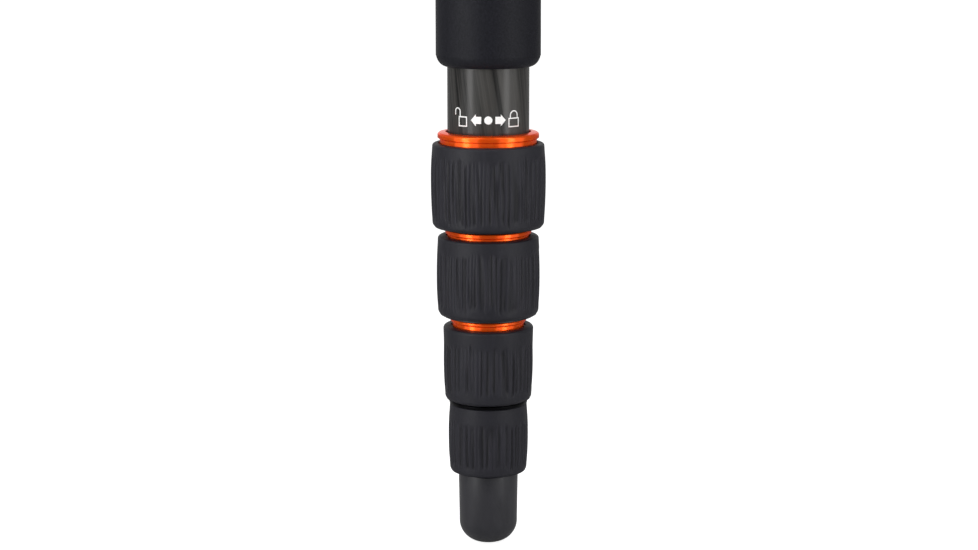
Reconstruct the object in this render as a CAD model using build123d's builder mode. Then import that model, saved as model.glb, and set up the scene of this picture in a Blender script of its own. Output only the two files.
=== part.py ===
"""A five-section camera monopod leg, closed, standing upright on its rubber foot.

Millimetres. The origin is the middle of the foot's lowest point, and +Z runs up the leg to the
camera stud. The front of the leg faces -Y. Sections and locks are numbered from the thick end:
section 1 carries the grip and the head platform, and section 5 carries the foot. Lock n sits at
the lower end of tube n and clamps tube n + 1.
"""

import os
from math import cos, pi, radians, sin

from build123d import *

os.makedirs("parts", exist_ok=True)

# Leg tubes
TUBE_COUNT = 5
LOCK_COUNT = TUBE_COUNT - 1
TOP_TUBE_DIAMETER = 28.0
TUBE_WALL = 1.2
SLIP_GAP = 0.55
TUBE_1_TOP = 416.0
NEST_MARGIN = 2.0
NEST_STEP = 4.0
KEY_WIDTH = 3.0
KEYWAY_DEPTH = 0.45

# Clearances
BOND_GAP = 0.05
RUNNING_GAP = 0.10
TUBE_GUIDE_GAP = 0.08
COLLET_GAP = 0.07
KEY_SIDE_GAP = 0.15
STOP_GAP = 0.30

# Twist locks, one value for each lock from the thick end
LOCK_HEIGHTS = (28.8, 27.7, 25.7, 24.2)
GRIP_WALLS = (2.15, 2.0, 1.5, 1.6)
RING_HEIGHTS = (4.0, 2.6, 3.1, 1.0)
RING_RADIAL_WIDTHS = (3.4, 2.65, 2.7, 2.4)
RING_GROOVE_LEVELS = (1.6, 0.9, 1.7)
RING_TOP_SLOPES = (1.15, 0.5, 0.6)
NECK_RADIAL_WIDTH = 4.9

# Twist locks, values shared by all of them
SLEEVE_WALL = 1.5
NUT_WALL = 1.9
NUT_RECESS = 0.4
UNLOCK_TURN = 100.0
THREAD_PITCH = 1.5
STACK_CLEARANCE = 0.18
SEAL_LIP = 0.9
SEAL_HEIGHT = 2.0
SEAL_DEPTH = 1.4
LIP_GAP = 0.4
SEAT_LEVEL = 3.9
SEAT_HEIGHT = 6.2
SEAT_WALL = 1.4
COLLET_SLIT = 2.0
COLLET_SLOT = 0.9
COLLET_SLOT_COUNT = 5
COLLET_SLOT_HEIGHT = 4.0
SLEEVE_LIP_HEIGHT = 1.2
SLEEVE_LIP_GAP = 0.3
RING_GROOVE_WIDTH = 0.3
RING_GROOVE_DEPTH = 0.4
RING_WAIST = 0.5

# Rubber sleeve of a lock
GRIP_CROWN = 0.42
GRIP_EDGE_RADIUS = 0.9
RIDGE_PITCH = 4.1
RIDGE_GROOVE_WIDTH = 2.0
RIDGE_GROOVE_DEPTH = 0.5
RIDGE_STAGGER = 2.0
RIDGE_PLAIN_BAND = 4.0

# Guide shells on the top end of tubes 2 to 5
GUIDE_LENGTHS = (46.0, 50.0, 54.0, 58.0)
GUIDE_SPLIT = 1.5
GUIDE_PEG_RADIUS = 1.5

# Foam grip and collar
BARE_TUBE_LENGTH = 22.2
FOAM_WALL = 3.9
FOAM_LIP_RADIUS = 3.6
COLLAR_HEIGHT = 7.0
COLLAR_WALL = 3.35
COLLAR_EDGE = 0.8

# Head platform
PLUG_LENGTH = 16.0
PLUG_FLANGE_WIDTH = 2.0
PLUG_FLANGE_HEIGHT = 5.0
PLATFORM_RADIUS = 22.0
PLATFORM_HEIGHT = 9.0
PLATFORM_EDGE = 1.0
PAD_THICKNESS = 1.5
PAD_MARGIN = 0.3
PAD_BORE_MARGIN = 0.6
STUD_RADIUS = 9.525 / 2
STUD_LENGTH = 10.0
STUD_FLANGE_RADIUS = 7.0
STUD_FLANGE_HEIGHT = 4.0
STUD_TAIL_RADIUS = 6.35 / 2
STUD_TAIL_LENGTH = 9.0
STUD_CHAMFER = 0.7
STUD_SLOT_WIDTH = 1.4
STUD_SLOT_DEPTH = 1.6
PLATFORM_SCREW_COUNT = 3
PLATFORM_SCREW_RADIUS = 1.5
PLATFORM_SCREW_LENGTH = 12.0
PLATFORM_SCREW_HEAD_RADIUS = 2.9
PLATFORM_SCREW_SOCKET = 1.0
PLATFORM_SCREW_SPACING = 0.9
HEAD_SCREW_INSET = 3.9
HEAD_SCREW_RADIUS = 1.5
HEAD_SCREW_LENGTH = 6.0
HEAD_SCREW_SOCKET = 0.75
SOCKET_DEPTH = 1.5
STUD_SCREW_RADIUS = 1.5
STUD_SCREW_LENGTH = 14.0
STUD_SCREW_DEPTH = 2.5
SCREW_CHAMFER = 0.3

# Foot
FOOT_HEIGHT = 25.7
FOOT_TOP_RADIUS = 10.45
FOOT_TAPER = 0.4
FOOT_CORNER = 6.8
FOOT_DOME = 0.5
FOOT_TOP_EDGE = 0.4
FOOT_SKIN = 2.55
FOOT_DISC_HEIGHT = 2.0
FOOT_DISC_LEVEL = 10.0
FOOT_STUD_ENGAGED = 14.0
FOOT_PLUG_LENGTH = 20.0
FOOT_PLUG_WALL = 1.7
FOOT_PLUG_FLANGE = 1.4

# Radii of the nested tubes, outermost first
tube_step = TUBE_WALL + SLIP_GAP
tube_radius = [TOP_TUBE_DIAMETER / 2 - tube_step * n for n in range(TUBE_COUNT)]
tube_bore = [radius - TUBE_WALL for radius in tube_radius]

# Radii of each lock, from the threaded sleeve outwards
sleeve_radius = [tube_radius[n] + BOND_GAP + SLEEVE_WALL for n in range(LOCK_COUNT)]
nut_bore = [radius + RUNNING_GAP for radius in sleeve_radius]
nut_radius = [radius + NUT_WALL for radius in nut_bore]

# Heights of each lock in the closed leg, worked out from the floor up
unlock_travel = THREAD_PITCH * UNLOCK_TURN / 360
stack_gap = unlock_travel + STACK_CLEARANCE
lock_bottom = [0.0] * LOCK_COUNT
lock_top = [0.0] * LOCK_COUNT
ring_bottom = [0.0] * LOCK_COUNT
ring_top = [0.0] * LOCK_COUNT
level = FOOT_HEIGHT
for n in reversed(range(LOCK_COUNT)):
    lock_bottom[n] = level + stack_gap
    lock_top[n] = lock_bottom[n] + LOCK_HEIGHTS[n]
    ring_bottom[n] = lock_top[n] - NUT_RECESS + RUNNING_GAP
    ring_top[n] = lock_top[n] + RUNNING_GAP + RING_HEIGHTS[n]
    level = ring_top[n]

# The lower end of each locked tube stands on the inner lip of its threaded sleeve
sleeve_bottom = [level + SEAT_LEVEL + SEAT_HEIGHT + STOP_GAP for level in lock_bottom]
tube_stop = [level + SLEEVE_LIP_HEIGHT for level in sleeve_bottom]
foot_plug_top = FOOT_HEIGHT + FOOT_PLUG_FLANGE
tube_bottom = [level + BOND_GAP for level in tube_stop] + [foot_plug_top + BOND_GAP]

# The upper end of each tube stops short of the plug or tube above it
plug_bottom = TUBE_1_TOP - PLUG_LENGTH
tube_top = [TUBE_1_TOP]
tube_top += [plug_bottom - NEST_MARGIN - NEST_STEP * n for n in range(LOCK_COUNT)]

# Each guide stops against the lip below it when its section is drawn out
guide_bottom = [tube_top[n + 1] - GUIDE_LENGTHS[n] for n in range(LOCK_COUNT)]
section_travel = [guide_bottom[n] - tube_stop[n] - STOP_GAP for n in range(LOCK_COUNT)]


def key_angle(n):
    """Angle of the keys that guide inside tube n, turned a quarter from tube to tube."""
    return 90.0 * (n % 2)


def radial_plane(angle, height, distance):
    """Plane facing outwards from the leg's axis, at one angle, height and distance."""
    outwards = Vector(cos(radians(angle)), sin(radians(angle)), 0)
    sideways = Vector(-sin(radians(angle)), cos(radians(angle)), 0)
    return Plane(outwards * distance + Vector(0, 0, height), sideways, outwards)


def make_tube(n):
    """Carbon tube, with two keyways in its bore and two peg holes near its top end."""
    with BuildPart() as tube:
        with BuildSketch(Plane.XY.offset(tube_bottom[n])):
            Circle(tube_radius[n])
            Circle(tube_bore[n], mode=Mode.SUBTRACT)
            if n < LOCK_COUNT:
                keyway_reach = 2 * (tube_bore[n] + KEYWAY_DEPTH)
                Rectangle(
                    keyway_reach,
                    KEY_WIDTH + 2 * KEY_SIDE_GAP,
                    rotation=key_angle(n),
                    mode=Mode.SUBTRACT,
                )
        extrude(amount=tube_top[n] - tube_bottom[n])
        if n > 0:
            peg_level = guide_bottom[n - 1] + GUIDE_LENGTHS[n - 1] / 2
            for side in (0, 180):
                hole_plane = radial_plane(key_angle(n - 1) + side, peg_level, 0)
                with BuildSketch(hole_plane):
                    Circle(GUIDE_PEG_RADIUS + BOND_GAP)
                extrude(amount=tube_radius[n] + SLIP_GAP, mode=Mode.SUBTRACT)
    tube.part.label = f"tube_{n + 1}"
    export_step(tube.part, f"parts/{tube.part.label}.step")


def make_guides(n):
    """Two half shells pegged to the top of tube n + 1, with keys that run in tube n."""
    inner = tube_radius[n + 1] + BOND_GAP
    outer = tube_bore[n] - TUBE_GUIDE_GAP
    key_reach = tube_bore[n] + KEYWAY_DEPTH - RUNNING_GAP
    peg_level = guide_bottom[n] + GUIDE_LENGTHS[n] / 2
    with BuildPart() as guides:
        with BuildSketch(Plane.XY.offset(guide_bottom[n])):
            Circle(outer)
            Rectangle(2 * key_reach, KEY_WIDTH, rotation=key_angle(n))
            Circle(inner, mode=Mode.SUBTRACT)
            Rectangle(
                GUIDE_SPLIT, 2 * key_reach, rotation=key_angle(n), mode=Mode.SUBTRACT
            )
        extrude(amount=GUIDE_LENGTHS[n])
        for side in (0, 180):
            peg_start = tube_bore[n + 1] + RUNNING_GAP
            peg_plane = radial_plane(key_angle(n) + side, peg_level, peg_start)
            with BuildSketch(peg_plane):
                Circle(GUIDE_PEG_RADIUS)
            extrude(amount=outer - peg_start)
    guides.part.label = f"guides_{n + 2}"
    export_step(guides.part, f"parts/{guides.part.label}.step")


def make_fitting(n):
    """Threaded sleeve bonded on the end of tube n, with a ring or a wide neck above the lock."""
    bore = tube_radius[n] + BOND_GAP
    stop_bore = tube_radius[n + 1] + SLEEVE_LIP_GAP
    flange = tube_radius[n] + RING_RADIAL_WIDTHS[n]
    with BuildPart() as fitting:
        with BuildSketch(Plane.XZ):
            with BuildLine():
                Polyline(
                    (stop_bore, sleeve_bottom[n]),
                    (sleeve_radius[n], sleeve_bottom[n]),
                    (sleeve_radius[n], ring_bottom[n]),
                    (flange, ring_bottom[n]),
                    (flange, ring_top[n]),
                    (bore, ring_top[n]),
                    (bore, tube_stop[n]),
                    (stop_bore, tube_stop[n]),
                    close=True,
                )
            make_face()
        revolve(axis=Axis.Z)
        if n < len(RING_GROOVE_LEVELS):
            groove_level = lock_top[n] + RING_GROOVE_LEVELS[n]
            slope = RING_TOP_SLOPES[n]
            with BuildSketch(Plane.XZ):
                with BuildLine():
                    Polyline(
                        (flange, ring_top[n] - slope),
                        (flange + 1, ring_top[n] - slope),
                        (flange + 1, ring_top[n] + 1),
                        (bore, ring_top[n] + 1),
                        (bore, ring_top[n]),
                        close=True,
                    )
                make_face()
                with BuildLine():
                    Polyline(
                        (flange, ring_top[n] - slope),
                        (flange - RING_WAIST, groove_level),
                        (flange, groove_level),
                        close=True,
                    )
                make_face()
                with Locations((flange - RING_WAIST, groove_level)):
                    Rectangle(2 * RING_GROOVE_DEPTH, RING_GROOVE_WIDTH)
            revolve(axis=Axis.Z, mode=Mode.SUBTRACT)
        else:
            with BuildSketch(Plane.XY.offset(lock_top[n] + RUNNING_GAP)):
                Circle(tube_radius[n] + NECK_RADIAL_WIDTH)
                Circle(bore, mode=Mode.SUBTRACT)
            extrude(amount=RING_HEIGHTS[n])
    fitting.part.label = f"lock_fitting_{n + 1}"
    export_step(fitting.part, f"parts/{fitting.part.label}.step")


def make_nut(n):
    """Turning core of the lock: threaded above, with a conical seat for the collet below."""
    bottom = lock_bottom[n]
    inner_tube = tube_radius[n + 1]
    lip = inner_tube + LIP_GAP
    seat_low = inner_tube + SEAT_WALL
    with BuildPart() as nut:
        with BuildSketch(Plane.XZ):
            with BuildLine():
                Polyline(
                    (lip, bottom),
                    (nut_radius[n], bottom),
                    (nut_radius[n], lock_top[n] - NUT_RECESS),
                    (nut_bore[n], lock_top[n] - NUT_RECESS),
                    (nut_bore[n], bottom + SEAT_LEVEL + SEAT_HEIGHT),
                    (seat_low, bottom + SEAT_LEVEL),
                    (lip, bottom + SEAT_LEVEL),
                    (lip, bottom + SEAL_LIP + SEAL_HEIGHT),
                    (inner_tube + SEAL_DEPTH, bottom + SEAL_LIP + SEAL_HEIGHT),
                    (inner_tube + SEAL_DEPTH, bottom + SEAL_LIP),
                    (lip, bottom + SEAL_LIP),
                    close=True,
                )
            make_face()
        revolve(axis=Axis.Z)
    nut.part.label = f"lock_nut_{n + 1}"
    export_step(nut.part, f"parts/{nut.part.label}.step")


def make_seal(n):
    """Wiper ring in the groove of the nut's lower lip."""
    level = lock_bottom[n] + SEAL_LIP + BOND_GAP
    with BuildPart() as seal:
        with BuildSketch(Plane.XY.offset(level)):
            Circle(tube_radius[n + 1] + SEAL_DEPTH - BOND_GAP)
            Circle(tube_radius[n + 1] + RUNNING_GAP, mode=Mode.SUBTRACT)
        extrude(amount=SEAL_HEIGHT - 2 * BOND_GAP)
    seal.part.label = f"lock_seal_{n + 1}"
    export_step(seal.part, f"parts/{seal.part.label}.step")


def make_collet(n):
    """Split tapered ring that the nut squeezes onto tube n + 1."""
    bottom = lock_bottom[n] + SEAT_LEVEL + BOND_GAP
    top = lock_bottom[n] + SEAT_LEVEL + SEAT_HEIGHT - BOND_GAP
    inner = tube_radius[n + 1] + COLLET_GAP
    low = tube_radius[n + 1] + SEAT_WALL - RUNNING_GAP
    high = nut_bore[n] - RUNNING_GAP
    with BuildPart() as collet:
        with BuildSketch(Plane.XZ):
            with BuildLine():
                Polyline(
                    (inner, bottom), (low, bottom), (high, top), (inner, top), close=True
                )
            make_face()
        revolve(axis=Axis.Z)
        with BuildSketch(Plane.XY.offset(bottom)):
            with Locations((0, -high)):
                Rectangle(COLLET_SLIT, 2 * high)
        extrude(amount=top - bottom, mode=Mode.SUBTRACT)
        with BuildSketch(Plane.XY.offset(bottom)):
            slot_step = 360 / (COLLET_SLOT_COUNT + 1)
            slot_sweep = slot_step * (COLLET_SLOT_COUNT - 1)
            with PolarLocations(
                high, COLLET_SLOT_COUNT, -90 + slot_step, slot_sweep, endpoint=True
            ):
                Rectangle(2 * high, COLLET_SLOT)
        extrude(amount=COLLET_SLOT_HEIGHT, mode=Mode.SUBTRACT)
    collet.part.label = f"lock_collet_{n + 1}"
    export_step(collet.part, f"parts/{collet.part.label}.step")


def make_grip(n):
    """Barrel-shaped rubber sleeve with a ring of upright grooves tapered to points."""
    bore = nut_radius[n] + BOND_GAP
    crown = nut_radius[n] + GRIP_WALLS[n]
    end = crown - GRIP_CROWN
    middle = (lock_bottom[n] + lock_top[n]) / 2
    edge_radius = min(GRIP_EDGE_RADIUS, GRIP_WALLS[n] - GRIP_CROWN - 2 * BOND_GAP)
    groove_count = 2 * round(pi * crown / RIDGE_PITCH)
    groove_reach = LOCK_HEIGHTS[n] / 2 - RIDGE_PLAIN_BAND - RIDGE_STAGGER
    groove_half = RIDGE_GROOVE_WIDTH / 2
    with BuildPart() as grip:
        with BuildSketch(Plane.XZ):
            with BuildLine():
                ThreePointArc((end, lock_bottom[n]), (crown, middle), (end, lock_top[n]))
                Polyline(
                    (end, lock_top[n]),
                    (bore, lock_top[n]),
                    (bore, lock_bottom[n]),
                    (end, lock_bottom[n]),
                )
            make_face()
        revolve(axis=Axis.Z)
        rims = grip.edges().filter_by(GeomType.CIRCLE).filter_by(
            lambda rim: rim.radius > bore + BOND_GAP
        )
        fillet(rims, radius=edge_radius)
        for groove in range(groove_count):
            angle = 360 / groove_count * groove
            shift = RIDGE_STAGGER if groove % 2 else -RIDGE_STAGGER
            with BuildSketch(radial_plane(angle, middle + shift, crown)):
                with BuildLine():
                    ThreePointArc((0, -groove_reach), (groove_half, 0), (0, groove_reach))
                    ThreePointArc((0, groove_reach), (-groove_half, 0), (0, -groove_reach))
                make_face()
        extrude(amount=-RIDGE_GROOVE_DEPTH, mode=Mode.SUBTRACT)
    grip.part.label = f"lock_grip_{n + 1}"
    export_step(grip.part, f"parts/{grip.part.label}.step")


# Foam sleeve on the top tube, with a rounded lower lip
foam_bottom = ring_top[0] + BARE_TUBE_LENGTH
foam_top = TUBE_1_TOP - COLLAR_HEIGHT
with BuildPart() as foam_grip:
    with BuildSketch(Plane.XY.offset(foam_bottom)):
        Circle(tube_radius[0] + FOAM_WALL)
        Circle(tube_radius[0] + BOND_GAP, mode=Mode.SUBTRACT)
    extrude(amount=foam_top - foam_bottom)
    outer_rims = foam_grip.edges().filter_by(GeomType.CIRCLE).group_by(SortBy.RADIUS)[-1]
    fillet(outer_rims, radius=FOAM_LIP_RADIUS)
foam_grip.part.label = "foam_grip"
export_step(foam_grip.part, "parts/foam_grip.step")

# Collar that closes the foam's upper end
with BuildPart() as top_collar:
    with BuildSketch(Plane.XY.offset(foam_top + BOND_GAP)):
        Circle(tube_radius[0] + BOND_GAP + COLLAR_WALL)
        Circle(tube_radius[0] + BOND_GAP, mode=Mode.SUBTRACT)
    extrude(amount=COLLAR_HEIGHT - BOND_GAP)
    outer_rims = top_collar.edges().filter_by(GeomType.CIRCLE).group_by(SortBy.RADIUS)[-1]
    chamfer(outer_rims, length=COLLAR_EDGE)
top_collar.part.label = "top_collar"
export_step(top_collar.part, "parts/top_collar.step")

# Aluminium plug bonded into the top tube, with a flange that carries the platform
plug_top = TUBE_1_TOP + BOND_GAP + PLUG_FLANGE_HEIGHT
platform_bottom = plug_top + BOND_GAP
platform_top = platform_bottom + PLATFORM_HEIGHT
pad_top = platform_top + PAD_THICKNESS
stud_flange_bottom = platform_top - STUD_FLANGE_HEIGHT
stud_tail_bottom = stud_flange_bottom - STUD_TAIL_LENGTH
platform_screw_bottom = platform_top - PLATFORM_SCREW_LENGTH
platform_screw_circle = STUD_FLANGE_RADIUS + PLATFORM_SCREW_SPACING + PLATFORM_SCREW_HEAD_RADIUS
head_screw_circle = PLATFORM_RADIUS - HEAD_SCREW_INSET
screw_bore = PLATFORM_SCREW_RADIUS + BOND_GAP
with BuildPart() as head_plug:
    with BuildSketch(Plane.XY.offset(plug_bottom)):
        Circle(tube_bore[0] - BOND_GAP)
    extrude(amount=PLUG_LENGTH + 2 * BOND_GAP)
    with BuildSketch(Plane.XY.offset(TUBE_1_TOP + BOND_GAP)):
        Circle(tube_radius[0] + PLUG_FLANGE_WIDTH)
    extrude(amount=PLUG_FLANGE_HEIGHT)
    with BuildSketch(Plane.XY.offset(stud_tail_bottom - STOP_GAP)):
        Circle(STUD_TAIL_RADIUS + RUNNING_GAP)
    extrude(amount=plug_top - stud_tail_bottom + STOP_GAP, mode=Mode.SUBTRACT)
    with BuildSketch(Plane.XY.offset(platform_screw_bottom - STOP_GAP)):
        with PolarLocations(platform_screw_circle, PLATFORM_SCREW_COUNT, 90):
            Circle(screw_bore)
    extrude(amount=plug_top - platform_screw_bottom + STOP_GAP, mode=Mode.SUBTRACT)
head_plug.part.label = "head_plug"
export_step(head_plug.part, "parts/head_plug.step")

# Round platform that a head or a camera stands on
with BuildPart() as head_platform:
    with BuildSketch(Plane.XY.offset(platform_bottom)):
        Circle(PLATFORM_RADIUS)
    extrude(amount=PLATFORM_HEIGHT)
    chamfer(head_platform.edges().filter_by(GeomType.CIRCLE), length=PLATFORM_EDGE)
    with BuildSketch(Plane.XY.offset(platform_bottom)):
        Circle(STUD_TAIL_RADIUS + RUNNING_GAP)
        with PolarLocations(platform_screw_circle, PLATFORM_SCREW_COUNT, 90):
            Circle(screw_bore)
        with PolarLocations(head_screw_circle, PLATFORM_SCREW_COUNT, 90):
            Circle(HEAD_SCREW_RADIUS + BOND_GAP)
    extrude(amount=PLATFORM_HEIGHT, mode=Mode.SUBTRACT)
    with BuildSketch(Plane.XY.offset(stud_flange_bottom - BOND_GAP)):
        Circle(STUD_FLANGE_RADIUS + BOND_GAP)
    extrude(amount=STUD_FLANGE_HEIGHT + BOND_GAP, mode=Mode.SUBTRACT)
    with BuildSketch(Plane.XY.offset(platform_top)):
        with PolarLocations(platform_screw_circle, PLATFORM_SCREW_COUNT, 90):
            Circle(PLATFORM_SCREW_HEAD_RADIUS + BOND_GAP)
    extrude(amount=screw_bore - PLATFORM_SCREW_HEAD_RADIUS, taper=45, mode=Mode.SUBTRACT)
    side_hole_level = platform_top - STUD_SCREW_DEPTH
    with BuildSketch(radial_plane(-90, side_hole_level, STUD_FLANGE_RADIUS)):
        Circle(STUD_SCREW_RADIUS + BOND_GAP)
    extrude(amount=PLATFORM_RADIUS - STUD_FLANGE_RADIUS, mode=Mode.SUBTRACT)
head_platform.part.label = "head_platform"
export_step(head_platform.part, "parts/head_platform.step")

# Rubber washer that keeps the camera from slipping
with BuildPart() as platform_pad:
    with BuildSketch(Plane.XY.offset(platform_top)):
        Circle(PLATFORM_RADIUS - PLATFORM_EDGE - PAD_MARGIN)
        Circle(STUD_FLANGE_RADIUS + PAD_BORE_MARGIN, mode=Mode.SUBTRACT)
        with PolarLocations(head_screw_circle, PLATFORM_SCREW_COUNT, 90):
            Circle(HEAD_SCREW_RADIUS + STOP_GAP, mode=Mode.SUBTRACT)
    extrude(amount=PAD_THICKNESS)
platform_pad.part.label = "platform_pad"
export_step(platform_pad.part, "parts/platform_pad.step")

# Reversible camera stud: a thick thread above its flange and a thin one below
with BuildPart() as camera_stud:
    with BuildSketch(Plane.XY.offset(stud_tail_bottom)):
        Circle(STUD_TAIL_RADIUS)
    extrude(amount=STUD_TAIL_LENGTH)
    with BuildSketch(Plane.XY.offset(stud_flange_bottom)):
        Circle(STUD_FLANGE_RADIUS)
    extrude(amount=STUD_FLANGE_HEIGHT)
    with BuildSketch(Plane.XY.offset(platform_top)):
        Circle(STUD_RADIUS)
    extrude(amount=PAD_THICKNESS + STUD_LENGTH)
    tips = camera_stud.edges().filter_by(GeomType.CIRCLE).group_by(Axis.Z)
    chamfer(tips[0] + tips[-1], length=STUD_CHAMFER)
    with BuildSketch(Plane.XY.offset(pad_top + STUD_LENGTH)):
        Rectangle(2 * STUD_RADIUS, STUD_SLOT_WIDTH)
    extrude(amount=-STUD_SLOT_DEPTH, mode=Mode.SUBTRACT)
camera_stud.part.label = "camera_stud"
export_step(camera_stud.part, "parts/camera_stud.step")

# Countersunk screws that fix the platform to the plug, hidden under the pad
with BuildPart() as platform_screws:
    with BuildSketch(Plane.XY.offset(platform_screw_bottom)):
        with PolarLocations(platform_screw_circle, PLATFORM_SCREW_COUNT, 90):
            Circle(PLATFORM_SCREW_RADIUS)
    extrude(amount=PLATFORM_SCREW_LENGTH)
    with BuildSketch(Plane.XY.offset(platform_top)):
        with PolarLocations(platform_screw_circle, PLATFORM_SCREW_COUNT, 90):
            Circle(PLATFORM_SCREW_HEAD_RADIUS)
    extrude(amount=PLATFORM_SCREW_RADIUS - PLATFORM_SCREW_HEAD_RADIUS, taper=45)
    with BuildSketch(Plane.XY.offset(platform_top)):
        with PolarLocations(platform_screw_circle, PLATFORM_SCREW_COUNT, 90):
            RegularPolygon(PLATFORM_SCREW_SOCKET, 6)
    extrude(amount=-SOCKET_DEPTH, mode=Mode.SUBTRACT)
platform_screws.part.label = "platform_screws"
export_step(platform_screws.part, "parts/platform_screws.step")

# Grub screws that lock a tripod head, driven from below and set back under the pad
head_screw_bottom = platform_top - STOP_GAP - HEAD_SCREW_LENGTH
with BuildPart() as head_set_screws:
    with BuildSketch(Plane.XY.offset(head_screw_bottom)):
        with PolarLocations(head_screw_circle, PLATFORM_SCREW_COUNT, 90):
            Circle(HEAD_SCREW_RADIUS)
    extrude(amount=HEAD_SCREW_LENGTH)
    chamfer(head_set_screws.edges().filter_by(GeomType.CIRCLE), length=SCREW_CHAMFER)
    with BuildSketch(Plane.XY.offset(head_screw_bottom)):
        with PolarLocations(head_screw_circle, PLATFORM_SCREW_COUNT, 90):
            RegularPolygon(HEAD_SCREW_SOCKET, 6)
    extrude(amount=SOCKET_DEPTH, mode=Mode.SUBTRACT)
head_set_screws.part.label = "head_set_screws"
export_step(head_set_screws.part, "parts/head_set_screws.step")

# Grub screw in the platform's front edge that holds the stud's flange
stud_screw_start = STUD_FLANGE_RADIUS + RUNNING_GAP
stud_screw_end = stud_screw_start + STUD_SCREW_LENGTH
with BuildPart() as stud_lock_screw:
    with BuildSketch(radial_plane(-90, side_hole_level, stud_screw_start)):
        Circle(STUD_SCREW_RADIUS)
    extrude(amount=STUD_SCREW_LENGTH)
    chamfer(stud_lock_screw.edges().filter_by(GeomType.CIRCLE), length=SCREW_CHAMFER)
    with BuildSketch(radial_plane(-90, side_hole_level, stud_screw_end)):
        RegularPolygon(HEAD_SCREW_SOCKET, 6)
    extrude(amount=-SOCKET_DEPTH, mode=Mode.SUBTRACT)
stud_lock_screw.part.label = "stud_lock_screw"
export_step(stud_lock_screw.part, "parts/stud_lock_screw.step")

# Aluminium plug bonded into the lowest tube, with a blind threaded hole for the foot
foot_plug_radius = tube_bore[-1] - BOND_GAP
foot_stud_radius = foot_plug_radius - FOOT_PLUG_WALL - BOND_GAP
foot_stud_top = foot_plug_top + FOOT_STUD_ENGAGED
with BuildPart() as foot_plug:
    with BuildSketch(Plane.XY.offset(FOOT_HEIGHT + BOND_GAP)):
        Circle(tube_radius[-1])
    extrude(amount=FOOT_PLUG_FLANGE - BOND_GAP)
    with BuildSketch(Plane.XY.offset(foot_plug_top)):
        Circle(foot_plug_radius)
    extrude(amount=FOOT_PLUG_LENGTH)
    with BuildSketch(Plane.XY.offset(FOOT_HEIGHT)):
        Circle(foot_stud_radius + BOND_GAP)
    extrude(amount=foot_stud_top + STOP_GAP - FOOT_HEIGHT, mode=Mode.SUBTRACT)
foot_plug.part.label = "foot_plug"
export_step(foot_plug.part, "parts/foot_plug.step")

# Steel stud with a disc, moulded into the rubber foot
foot_low_radius = FOOT_TOP_RADIUS - FOOT_TAPER
foot_disc_radius = foot_low_radius - FOOT_SKIN
with BuildPart() as foot_stud:
    with BuildSketch(Plane.XY.offset(FOOT_DISC_LEVEL)):
        Circle(foot_disc_radius)
    extrude(amount=FOOT_DISC_HEIGHT)
    with BuildSketch(Plane.XY.offset(FOOT_DISC_LEVEL)):
        Circle(foot_stud_radius)
    extrude(amount=foot_stud_top - FOOT_DISC_LEVEL)
    stud_tip = foot_stud.edges().filter_by(GeomType.CIRCLE).sort_by(Axis.Z)[-1]
    chamfer(stud_tip, length=STUD_CHAMFER)
foot_stud.part.label = "foot_stud"
export_step(foot_stud.part, "parts/foot_stud.step")

# Bullet-shaped rubber foot around the stud's disc
with BuildPart() as rubber_foot:
    with BuildSketch(Plane.XZ):
        with BuildLine():
            corner_top = (foot_low_radius, FOOT_DOME + FOOT_CORNER)
            dome_edge = (foot_low_radius - FOOT_CORNER, FOOT_DOME)
            Line((0, FOOT_HEIGHT), (FOOT_TOP_RADIUS, FOOT_HEIGHT))
            Line((FOOT_TOP_RADIUS, FOOT_HEIGHT), corner_top)
            RadiusArc(corner_top, dome_edge, FOOT_CORNER)
            Line(dome_edge, (0, 0))
            Line((0, 0), (0, FOOT_HEIGHT))
        make_face()
    revolve(axis=Axis.Z)
    top_rim = rubber_foot.edges().filter_by(GeomType.CIRCLE).sort_by(Axis.Z)[-1]
    fillet(top_rim, radius=FOOT_TOP_EDGE)
    with BuildSketch(Plane.XY.offset(FOOT_DISC_LEVEL - BOND_GAP)):
        Circle(foot_disc_radius + BOND_GAP)
    extrude(amount=FOOT_DISC_HEIGHT + 2 * BOND_GAP, mode=Mode.SUBTRACT)
    with BuildSketch(Plane.XY.offset(FOOT_DISC_LEVEL)):
        Circle(foot_stud_radius + BOND_GAP)
    extrude(amount=FOOT_HEIGHT - FOOT_DISC_LEVEL, mode=Mode.SUBTRACT)
rubber_foot.part.label = "rubber_foot"
export_step(rubber_foot.part, "parts/rubber_foot.step")

for n in range(TUBE_COUNT):
    make_tube(n)
for n in range(LOCK_COUNT):
    make_guides(n)
    make_fitting(n)
    make_nut(n)
    make_seal(n)
    make_collet(n)
    make_grip(n)
    print(f"section {n + 1} slides {section_travel[n]:.3f} mm")
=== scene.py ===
# %% [markdown]
# # A camera monopod leg with four twist locks
#
# The leg stands closed on its rubber foot. From the floor up it has a foot, four rubber-sleeved
# locks, each with an anodised ring above it, a short stretch of carbon tube with printed marks, a
# foam grip and a round head platform with a stud. The CAD model fixes where everything is, and this
# lesson gives each visible piece its real surface. Lengths are metres, and MM turns millimetres
# into them.

# %% Load the leg's frame
from math import atan2, ceil, cos, hypot, pi, radians, sin

import bmesh
import bpy
from mathutils import Euler, Matrix, Vector, noise


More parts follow.
